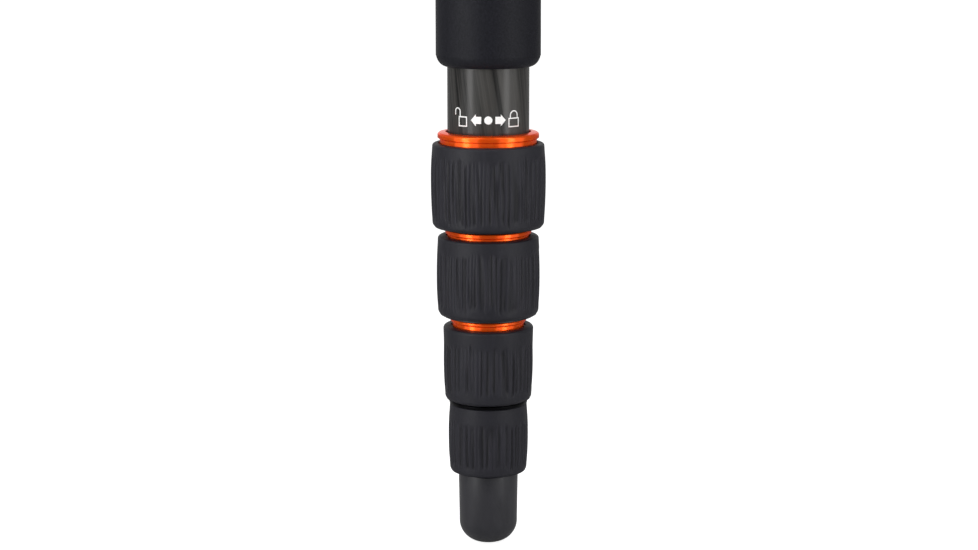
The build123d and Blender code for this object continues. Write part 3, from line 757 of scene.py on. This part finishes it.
# %% Mould the sleeves
SLEEVE_BARRELS = {
    1: (19.2, 19.67, 19.76, 19.57, 19.2),
    2: (17.42, 17.76, 17.9, 17.77, 17.36),
    3: (15.66, 15.52, 15.57, 15.42, 15.03),
    4: (13.45, 13.83, 13.94, 13.8, 13.4),
}
TOP_EDGES = {1: 0.7, 2: 0.7, 3: 0.85, 4: 0.6}
FOOT_EDGES = {1: 1.5, 2: 1.6, 3: 1.1, 4: 1.0}
RUBBER_ENDS_ABOVE_NUT = {1: 0.15, 2: 0.45, 3: 0.0, 4: 0.0}
PLAIN_BANDS = {1: (3.3, 1.9), 2: (3.9, 2.3), 3: (4.6, 2.9), 4: (5.0, 1.8)}
PLAIN_SKIN = 0.6
LIP_THICK = 0.36 * MM
LIP_ROUNDING = 0.12 * MM
LIP_RISES = {1: 0.25, 2: 0.25, 3: 0.25, 4: 0.0}
LIP_GAP = {1: -0.3 * MM, 2: -0.3 * MM, 3: -0.3 * MM, 4: 0.2 * MM}
GRAIN_STEP = 0.21 * MM
GRAIN_ROW = 0.32 * MM
SEED_STEP = 31.7


def barrel(radii, part):
    """Radius of a sleeve in metres on a smooth curve through its radii, from the top down."""
    last = len(radii) - 1
    place = min(max(part, 0.0), 1.0) * last
    start = min(int(place), last - 1)
    before, first, second, after = (
        radii[min(max(start + step, 0), last)] for step in (-1, 0, 1, 2)
    )
    share = place - start
    bend = (2 * before - 5 * first + 4 * second - after) * share
    twist = (3 * first - before - 3 * second + after) * share * share
    return (first + (second - before + bend + twist) * share / 2) * MM


for n in range(1, 5):
    crown, low, high = size_of(f"lock_grip_{n}")
    bore = size_of(f"lock_nut_{n}")[0] + FIT_GAP
    low += RUBBER_ENDS_ABOVE_NUT[n] * MM
    lip = ring_radius[n] + LIP_GAP[n]
    outline = [
        (bore, low),
        (crown, low),
        (crown, high),
        (lip, high + LIP_RISES[n] * MM),
        (lip, high - LIP_THICK),
        (bore, high - LIP_THICK),
    ]
    around = round(2 * pi * crown / GRAIN_STEP)
    sleeve = turn(outline, {3: LIP_ROUNDING}, steps=around)
    round_rim(sleeve, crown, low, FOOT_EDGES[n] * MM, segments=8)
    round_rim(sleeve, crown, high, TOP_EDGES[n] * MM, segments=6)
    walls = [
        edge
        for edge in sleeve.edges
        if abs(edge.verts[0].co.z - edge.verts[1].co.z) > (high - low) / 2
        and hypot(*edge.verts[0].co.xy) > (crown + bore) / 2
    ]
    above, below = (size * MM for size in PLAIN_BANDS[n])
    rows = round((high - low) / GRAIN_ROW)
    bmesh.ops.subdivide_edges(sleeve, edges=walls, cuts=rows, use_grid_fill=True)
    # The relief attribute sets the painted shade in the grooves and the painted highlight on the
    # ridges of the rubber's colour; the plain bands get PLAIN_SKIN, a mid tone.
    relief = sleeve.verts.layers.float.new("relief")
    for vert in sleeve.verts:
        reach = hypot(*vert.co.xy)
        vert[relief] = PLAIN_SKIN
        if reach < (crown + bore) / 2:
            continue
        direction = Vector((vert.co.x, vert.co.y, 0)) / reach
        grain, field = wood_grain(
            direction, crown, vert.co.z, low + below, high - above, SEED_STEP * n
        )
        vert[relief] = grain * (PLAIN_SKIN + (1 - PLAIN_SKIN) * field)
        shape = barrel(SLEEVE_BARRELS[n], (high - vert.co.z) / (high - low))
        vert.co.xy = direction.xy * (reach - crown + shape - RIDGE_DEPTH * (1 - grain))
    print(f"sleeve {n}: {around} by {rows} facets")
    hand_over(
        sleeve, f"ridged_sleeve_{n}", f"lock_{n}", lock_rubber, [f"lock_grip_{n}"]
    )

# %% [markdown]
# ## The foam grip
#
# The grip is a thick tube of closed-cell foam, pushed onto the carbon and ground round. It isn't
# stuffed and doesn't hang, so no cloth is simulated: it is turned, its ends are rounded into full
# lips, the lower one drawn out a little, and its long wall gets the very slight unevenness that
# grinding leaves.

# %% Turn the foam grip
LIP_WIDTH = 3.75 * MM
LIP_STRETCH = 1.28
FOAM_ROWS = 90
FOAM_STEPS = 256
FOAM_UNEVENNESS = 0.10 * MM
DENTS_PER_METRE = (90, 90, 45)
WALL_AT_LEAST = 0.1

foam_radius, foam_low, foam_high = size_of("foam_grip")
foam_bore = tube_radius[1] + FIT_GAP
outline = [
    (foam_bore, foam_low),
    (foam_radius, foam_low),
    (foam_radius, foam_high),
    (foam_bore, foam_high),
]
grip = turn(outline, steps=FOAM_STEPS)
for level in (foam_low, foam_high):
    round_rim(grip, foam_radius, level, LIP_WIDTH, segments=14)
for vert in grip.verts:
    above = vert.co.z - foam_low
    if above < LIP_WIDTH:
        vert.co.z = foam_low + above * LIP_STRETCH
walls = [
    edge
    for edge in grip.edges
    if abs(edge.verts[0].co.z - edge.verts[1].co.z) > WALL_AT_LEAST
    and hypot(*edge.verts[0].co.xy) > foam_radius - MM
]
bmesh.ops.subdivide_edges(grip, edges=walls, cuts=FOAM_ROWS, use_grid_fill=True)
for vert in grip.verts:
    if hypot(*vert.co.xy) > foam_bore + MM:
        dent = noise.noise(Vector([at * count for at, count in zip(vert.co, DENTS_PER_METRE)]))
        vert.co.xy *= 1 - FOAM_UNEVENNESS * (0.5 + 0.5 * dent) / foam_radius
foam_piece = hand_over(grip, "foam_sleeve", "section_1", foam, ["foam_grip"])

# %% [markdown]
# ## Drilling and welding
#
# A lathe can't cut a slot or drill a row of holes. On screen a Boolean modifier does it: one
# closed shape is taken from another, or welded to it. The helper below lets the modifier work once
# on two loose shapes, keeps the result and throws both away, so that no modifier is left on the
# piece. Round pegs serve as the drill.

# %% Make the drill
PEG_FACETS = 48
THREE_AROUND = (90, 210, 330)


def carve(block, tool, operation="DIFFERENCE"):
    """Takes one closed mesh from another, or joins them, and returns the result."""
    shapes = []
    for mesh in (block, tool):
        data = bpy.data.meshes.new("loose_shape")
        mesh.to_mesh(data)
        mesh.free()
        shapes.append(bpy.data.objects.new("loose_shape", data))
        scene.collection.objects.link(shapes[-1])
    cut = shapes[0].modifiers.new("cut", "BOOLEAN")
    cut.object = shapes[1]
    cut.operation = operation
    cut.solver = "EXACT"
    result = bmesh.new()
    result.from_object(shapes[0], bpy.context.evaluated_depsgraph_get())
    for shape in shapes:
        bpy.data.objects.remove(shape)
    return result


def add_peg(mesh, start, end, radius):
    """Adds a closed round peg between two points, to drill with."""
    along = Vector(end) - Vector(start)
    middle = Matrix.Translation((Vector(start) + Vector(end)) / 2)
    bmesh.ops.create_cone(
        mesh,
        cap_ends=True,
        segments=PEG_FACETS,
        radius1=radius,
        radius2=radius,
        depth=along.length,
        matrix=middle @ along.to_track_quat("Z", "Y").to_matrix().to_4x4(),
    )


def upright_pegs(circle, radius, low, high):
    """Three upright pegs on a circle, one of them at the back of the leg."""
    pegs = bmesh.new()
    for angle in THREE_AROUND:
        x, y = circle * cos(radians(angle)), circle * sin(radians(angle))
        add_peg(pegs, (x, y, low), (x, y, high), radius)
    return pegs


print("drill ready, holes at", THREE_AROUND, "degrees")

# %% [markdown]
# ## The head platform
#
# The photograph ends below the head, so it follows other legs of this kind: a collar closes the
# foam, and a round platform carries a rubber pad and a stud. The platform is turned and black
# anodised. The lower half of its edge has a straight knurl to hold it by, which is a wave around
# the disc, and the plain upper half has the hole of the screw that locks the stud.

# %% Turn the platform
EDGE = 1.0 * MM
KNURL_LOW = 1.6 * MM
KNURL_HIGH = 4.3 * MM
KNURL_DEPTH = 0.35 * MM
KNURL_LAND = 0.3 * MM
KNURL_COUNT = 104
KNURL_STEPS = 7
HEAD_SCREW_CIRCLE = 18.1 * MM
SCREW_HOLE = 1.55 * MM
STUD_HOLE_DROP = 2.5 * MM
STUD_HOLE_REACH = (5 * MM, 25 * MM)
STUD_FLANGE = 4.0 * MM
TAIL_BORE = 3.275 * MM
PLATFORM_ROUNDING = {1: 0.2 * MM, 2: 0.2 * MM, 11: 0.25 * MM, 12: 0.2 * MM}

platform_radius, platform_low, platform_high = size_of("head_platform")
flange_radius, tail_low, stud_tip = size_of("camera_stud")
recess_low = platform_high - STUD_FLANGE - FIT_GAP
recess = flange_radius + FIT_GAP
waist = platform_radius - KNURL_DEPTH
knurl_low, knurl_high = platform_low + KNURL_LOW, platform_low + KNURL_HIGH
outline = [
    (TAIL_BORE, platform_low),
    (platform_radius - EDGE, platform_low),
    (platform_radius, platform_low + EDGE),
    (platform_radius, knurl_low - KNURL_LAND),
    (waist, knurl_low - KNURL_LAND),
    (waist, knurl_low),
    (platform_radius, knurl_low),
    (platform_radius, knurl_high),
    (waist, knurl_high),
    (waist, knurl_high + KNURL_LAND),
    (platform_radius, knurl_high + KNURL_LAND),
    (platform_radius, platform_high - EDGE),
    (platform_radius - EDGE, platform_high),
    (recess, platform_high),
    (recess, recess_low),
    (TAIL_BORE, recess_low),
]
disc = turn(outline, PLATFORM_ROUNDING, steps=KNURL_COUNT * KNURL_STEPS)
for vert in disc.verts:
    reach = hypot(*vert.co.xy)
    if reach > platform_radius - SNAP and knurl_low - SNAP < vert.co.z < knurl_high + SNAP:
        wave = 0.5 - 0.5 * cos(atan2(vert.co.y, vert.co.x) * KNURL_COUNT)
        vert.co.xy *= 1 - KNURL_DEPTH * wave / reach
screw_pegs = upright_pegs(HEAD_SCREW_CIRCLE, SCREW_HOLE, platform_low - MM, platform_high + MM)
disc = carve(disc, screw_pegs)
side_hole = bmesh.new()
hole_level = platform_high - STUD_HOLE_DROP
side_ends = [(0, -reach, hole_level) for reach in STUD_HOLE_REACH]
add_peg(side_hole, *side_ends, SCREW_HOLE)
disc = carve(disc, side_hole)
hand_over(
    disc, "knurled_platform", "section_1", black_metal, ["head_platform"]
)

# %% [markdown]
# The rubber pad on the platform has round ribs, so that a camera can't turn on it, and three holes
# for the screws that lock a head. The ribs are grooves in the turned outline, and the holes are
# drilled a little wider than the platform's.

# %% Mould the pad
RIB_SPACING = 1.3 * MM
RIB_GROOVE = 0.28 * MM
RIB_DEPTH = 0.45 * MM
RIB_START = 14.9 * MM
RIB_COUNT = 5
PAD_BORE_GAP = 0.6 * MM
PAD_HOLE = 1.8 * MM
PAD_EDGE = 0.3 * MM
PAD_BORE_EDGE = 0.2 * MM

pad_radius, pad_low, pad_high = size_of("platform_pad")
pad_bore = flange_radius + PAD_BORE_GAP
outline = [(pad_bore, pad_low), (pad_radius, pad_low), (pad_radius, pad_high)]
for rib in range(RIB_COUNT):
    middle = RIB_START - rib * RIB_SPACING
    outline += [
        (middle + RIB_GROOVE, pad_high),
        (middle + RIB_GROOVE / 2, pad_high - RIB_DEPTH),
        (middle - RIB_GROOVE / 2, pad_high - RIB_DEPTH),
        (middle - RIB_GROOVE, pad_high),
    ]
outline.append((pad_bore, pad_high))
pad = turn(outline, {2: PAD_EDGE, len(outline) - 1: PAD_BORE_EDGE})
pad = carve(pad, upright_pegs(HEAD_SCREW_CIRCLE, PAD_HOLE, pad_low - MM, pad_high + MM))
hand_over(pad, "ribbed_pad", "section_1", pad_rubber, ["platform_pad"])

# %% [markdown]
# The collar closes the foam's upper end under the platform. It is turned with broken edges and one
# fine groove around its middle.

# %% Turn the collar
COLLAR_EDGE = 0.8 * MM
COLLAR_GROOVE = 0.2 * MM
COLLAR_ROUNDING = {1: 0.15 * MM, 2: 0.2 * MM, 6: 0.2 * MM, 7: 0.15 * MM}

collar_radius, collar_low, collar_high = size_of("top_collar")
collar_bore = tube_radius[1] + FIT_GAP
groove = (collar_low + collar_high) / 2
outline = [
    (collar_bore, collar_low),
    (collar_radius - COLLAR_EDGE, collar_low),
    (collar_radius, collar_low + COLLAR_EDGE),
    (collar_radius, groove - COLLAR_GROOVE),
    (collar_radius - COLLAR_GROOVE, groove),
    (collar_radius, groove + COLLAR_GROOVE),
    (collar_radius, collar_high - COLLAR_EDGE),
    (collar_radius - COLLAR_EDGE, collar_high),
    (collar_bore, collar_high),
]
collar = turn(outline, COLLAR_ROUNDING)
hand_over(collar, "turned_collar", "section_1", black_metal, ["top_collar"])

# %% [markdown]
# ## The threaded stud
#
# The stud has a thick thread above its flange and a thin one below, and turns over to fit either
# kind of camera. A thread is one tooth's outline that is spun and lifted by one pitch each turn,
# which the spin does with a small lift at every step. The turns meet and are merged, and the
# thread is cut level at both ends. Its ends are turned down to a cone, as on a real screw, so the
# tooth runs out gently. The tooth's corners are parts of its depth and of one pitch.

# %% Make the thread cutter
TOOTH = ((0.0, 0.0), (0.0, 0.25), (1.0, 0.5625), (1.0, 0.6875), (0.0, 1.0))
TOOTH_DEPTH = 0.6
THREAD_STEPS = 64
EXTRA_TURNS = 3
SEAM_MERGE = 0.01 * MM
TIP_CONE = 0.8 * MM


def cut_thread(radius, pitch, low, high):
    """A closed threaded rod between two heights, with a cone at each end."""
    root = radius - TOOTH_DEPTH * pitch
    turns = ceil((high - low) / pitch) + EXTRA_TURNS
    mesh = bmesh.new()
    corners = [
        mesh.verts.new((root + out * (radius - root), 0, low + (up - 2) * pitch))
        for out, up in TOOTH
    ]
    lines = [mesh.edges.new(ends) for ends in zip(corners, corners[1:])]
    bmesh.ops.spin(
        mesh,
        geom=corners + lines,
        cent=(0, 0, 0),
        axis=(0, 0, 1),
        dvec=(0, 0, pitch / THREAD_STEPS),
        angle=2 * pi * turns,
        steps=THREAD_STEPS * turns,
    )
    bmesh.ops.remove_doubles(mesh, verts=mesh.verts, dist=SEAM_MERGE)
    for level, away in ((low, -1), (high, 1)):
        rim_cut = bmesh.ops.bisect_plane(
            mesh,
            geom=mesh.verts[:] + mesh.edges[:] + mesh.faces[:],
            plane_co=(0, 0, level),
            plane_no=(0, 0, away),
            clear_outer=True,
        )["geom_cut"]
        end = [part for part in rim_cut if isinstance(part, bmesh.types.BMEdge)]
        bmesh.ops.edgeloop_fill(mesh, edges=end)
    for vert in mesh.verts:
        reach = hypot(*vert.co.xy)
        allowed = radius - max(0, vert.co.z - high + TIP_CONE, low + TIP_CONE - vert.co.z)
        if reach > allowed:
            vert.co.xy *= allowed / reach
    bmesh.ops.recalc_face_normals(mesh, faces=mesh.faces)
    return mesh


print("thread cutter makes", THREAD_STEPS, "steps a turn")

# %% [markdown]
# The two threads are the standard ones for cameras, 3/8 inch with 16 turns to the inch and 1/4
# inch with 20. The flange between them is turned with a plain neck on each side, the threads are
# welded to the necks, and a slot across the upper end takes a coin or a blade.

# %% Cut the stud
THICK_RADIUS, THICK_PITCH = 4.7625 * MM, 1.5875 * MM
THIN_RADIUS, THIN_PITCH = 3.175 * MM, 1.27 * MM
CORE_DEPTH = 0.65
NECK = 0.9 * MM
FLANGE_EDGE = 0.3 * MM
STUD_STEPS = 96
SLOT_LENGTH = 20 * MM
SLOT_WIDTH = 1.4 * MM
SLOT_DEPTH = 1.6 * MM

flange_bottom = platform_high - STUD_FLANGE
thick_root = THICK_RADIUS - CORE_DEPTH * THICK_PITCH
thin_root = THIN_RADIUS - CORE_DEPTH * THIN_PITCH
outline = [
    (0, flange_bottom - 2 * NECK),
    (thin_root, flange_bottom - 2 * NECK),
    (thin_root, flange_bottom),
    (flange_radius, flange_bottom),
    (flange_radius, platform_high),
    (thick_root, platform_high),
    (thick_root, platform_high + 2 * NECK),
    (0, platform_high + 2 * NECK),
]
stud = turn(outline, {3: FLANGE_EDGE, 4: FLANGE_EDGE}, steps=STUD_STEPS, closed=False)
thick = cut_thread(THICK_RADIUS, THICK_PITCH, platform_high + NECK, stud_tip)
stud = carve(stud, thick, "UNION")
thin = cut_thread(THIN_RADIUS, THIN_PITCH, tail_low, flange_bottom - NECK)
stud = carve(stud, thin, "UNION")
blade = bmesh.new()
blade_size = Matrix.Diagonal((SLOT_LENGTH, SLOT_WIDTH, 2 * SLOT_DEPTH, 1))
bmesh.ops.create_cube(
    blade, size=1.0, matrix=Matrix.Translation((0, 0, stud_tip)) @ blade_size
)
stud = carve(stud, blade)
hand_over(stud, "threaded_stud", "section_1", steel, ["camera_stud"])

# %% [markdown]
# ## The rubber foot
#
# The foot is a bullet of solid rubber moulded around the disc of its stud, which is why its
# outline has a hollow inside. It narrows a little downwards, ends in a wide round corner, and its
# top rim is rolled.

# %% Turn the rubber foot
FOOT_TAPER = 0.4 * MM
FOOT_DOME = 0.5 * MM
FOOT_CORNER = 6.8 * MM
FOOT_CORNER_FACETS = 16
FOOT_RIM = 0.5 * MM
SHANK_BORE = 4.1 * MM
DISC_HOLLOW = 2.05 * MM

foot_radius, foot_low, foot_high = size_of("rubber_foot")
disc_radius, disc_low = size_of("foot_stud")[:2]
disc_top = disc_low + DISC_HOLLOW
outline = [
    (0, foot_low),
    (foot_radius - FOOT_TAPER, foot_low + FOOT_DOME),
    (foot_radius, foot_high),
    (SHANK_BORE, foot_high),
    (SHANK_BORE, disc_top),
    (disc_radius + FIT_GAP, disc_top),
    (disc_radius + FIT_GAP, disc_low - FIT_GAP),
    (0, disc_low - FIT_GAP),
]
bullet = turn(outline, {2: FOOT_RIM}, closed=False)
round_rim(bullet, *outline[1], FOOT_CORNER, segments=FOOT_CORNER_FACETS)
hand_over(bullet, "bullet_foot", "section_5", foot_rubber, ["rubber_foot"])

# %% [markdown]
# ## The printed marks
#
# Small white marks on the tube tell which way a lock opens: an open padlock, an arrow, a dot, an
# arrow and a closed padlock. They are drawn flat first, in millimetres across and up from the
# dot. A padlock's body is given by its half width and its lowest and highest point, and its bow by
# its half width and the height of its centre.

# %% Draw the marks flat
DOT_HEIGHT = 150.7
DOT_RADIUS = 1.37
ARROW_TIP = 6.0
ARROW_NECK = 4.25
ARROW_TAIL = 2.38
ARROW_HALF = 2.0
SHAFT_HALF = 1.2
PADLOCK_AT = 9.25
OPEN_BODY = (1.78, -2.36, 1.12)
CLOSED_BODY = (2.2, -2.5, 0.69)
OPEN_BOW = (1.33, 2.68)
CLOSED_BOW = (1.66, 1.5)
OPEN_BOW_AT = -11.5
OPEN_BOW_END = 1.45
LINE = 0.4
BOW_STEPS = 16
DOT_FACETS = 40


def draw_face(mesh, points):
    """One flat face through points given as (across, up)."""
    return mesh.faces.new([mesh.verts.new((across, 0, up)) for across, up in points])


def draw_arrow(mesh, side):
    """Block arrow that points away from the dot."""
    upper = [(ARROW_TAIL, SHAFT_HALF), (ARROW_NECK, SHAFT_HALF), (ARROW_NECK, ARROW_HALF)]
    lower = [(across, -up) for across, up in reversed(upper)]
    draw_face(mesh, [(side * across, up) for across, up in upper + [(ARROW_TIP, 0)] + lower])


def draw_body(mesh, middle, half, low, high):
    """Outline of a padlock's body, as a frame one line wide."""
    left, right = middle - half, middle + half
    body = draw_face(mesh, [(left, low), (right, low), (right, high), (left, high)])
    body.normal_update()
    bmesh.ops.inset_region(
        mesh, faces=[body], thickness=LINE, use_boundary=True, use_even_offset=True
    )
    bmesh.ops.delete(mesh, geom=[body], context="FACES")


def draw_shackle(mesh, middle, half, bow_height, start, end):
    """Bow of a padlock, one line wide, from the height of its right leg to that of its left."""
    inner, outer = half - LINE, half
    leg = [mesh.verts.new((middle + reach, 0, start)) for reach in (inner, outer)]
    step = bmesh.ops.extrude_edge_only(mesh, edges=[mesh.edges.new(leg)])["geom"]
    top = [part for part in step if isinstance(part, bmesh.types.BMVert)]
    bmesh.ops.translate(mesh, verts=top, vec=(0, 0, bow_height - start))
    across = [part for part in step if isinstance(part, bmesh.types.BMEdge)]
    bow = bmesh.ops.spin(
        mesh,
        geom=across,
        cent=(middle, 0, bow_height),
        axis=(0, -1, 0),
        angle=pi,
        steps=BOW_STEPS,
    )["geom_last"]
    last = [part for part in bow if isinstance(part, bmesh.types.BMEdge)]
    step = bmesh.ops.extrude_edge_only(mesh, edges=last)["geom"]
    foot = [part for part in step if isinstance(part, bmesh.types.BMVert)]
    bmesh.ops.translate(mesh, verts=foot, vec=(0, 0, end - bow_height))


drawing = bmesh.new()
dot = bmesh.ops.create_circle(
    drawing, cap_ends=True, radius=DOT_RADIUS, segments=DOT_FACETS
)
bmesh.ops.rotate(
    drawing, verts=dot["verts"], cent=(0, 0, 0), matrix=Euler((pi / 2, 0, 0)).to_matrix()
)
for side in (-1, 1):
    draw_arrow(drawing, side)
draw_body(drawing, -PADLOCK_AT, *OPEN_BODY)
draw_body(drawing, PADLOCK_AT, *CLOSED_BODY)
draw_shackle(drawing, OPEN_BOW_AT, *OPEN_BOW, OPEN_BODY[2], OPEN_BOW_END)
draw_shackle(drawing, PADLOCK_AT, *CLOSED_BOW, CLOSED_BODY[2], CLOSED_BODY[2])
print("marks drawn with", len(drawing.faces), "faces")

# %% [markdown]
# Real ink is a film that bites into the varnish and stands a hair above it. The flat drawing gets
# that thickness, is cut into narrow upright strips so that it can bend, and is then wrapped around
# the tube, point by point, with the dot at the front.

# %% Wrap the marks onto the tube
INK_LIFT = 0.03
INK_BITE = 0.02
STRIP_WIDTH = 0.35
STRIPS_EACH_SIDE = 38

bmesh.ops.recalc_face_normals(drawing, faces=drawing.faces)
skin = bmesh.ops.extrude_face_region(drawing, geom=drawing.faces[:], use_keep_orig=True)["geom"]
lifted = [part for part in skin if isinstance(part, bmesh.types.BMVert)]
bmesh.ops.translate(drawing, verts=lifted, vec=(0, INK_LIFT + INK_BITE, 0))
for strip in range(-STRIPS_EACH_SIDE, STRIPS_EACH_SIDE + 1):
    bmesh.ops.bisect_plane(
        drawing,
        geom=drawing.verts[:] + drawing.edges[:] + drawing.faces[:],
        plane_co=(strip * STRIP_WIDTH, 0, 0),
        plane_no=(1, 0, 0),
    )
for vert in drawing.verts:
    across, depth, up = vert.co
    reach = tube_radius[1] + (depth - INK_BITE) * MM
    angle = across * MM / tube_radius[1]
    vert.co = (reach * sin(angle), -reach * cos(angle), (DOT_HEIGHT + up) * MM)
bmesh.ops.recalc_face_normals(drawing, faces=drawing.faces)
hand_over(drawing, "printed_lock_marks", "section_1", ink)

# %% [markdown]
# ## The CAD pieces that stay
#
# The guides, nuts, seals, collets, plugs and screws keep their CAD shapes and take the finishes
# mixed above.

# %% Finish the CAD pieces
CAD_FINISHES = {
    "guides": nylon,
    "lock_nut": black_metal,
    "lock_seal": felt,
    "lock_collet": acetal,
    "foot_plug": black_metal,
    "foot_stud": steel,
    "head_plug": black_metal,
    "platform_screws": black_steel,
    "head_set_screws": black_steel,
    "stud_lock_screw": black_steel,
}
for name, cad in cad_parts.items():
    for start, finish in CAD_FINISHES.items():
        if name.startswith(start):
            cad.data.materials.clear()
            cad.data.materials.append(finish)
print(len(CAD_FINISHES), "kinds of CAD piece finished")

# %% [markdown]
# ## Measure and finish
#
# The dressed leg must fill the same space as the CAD model, so its height from its lowest to its
# highest point is printed.

# %% Print the leg's height
low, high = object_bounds()
print("height", round((high.z - low.z) / MM, 2), "mm")
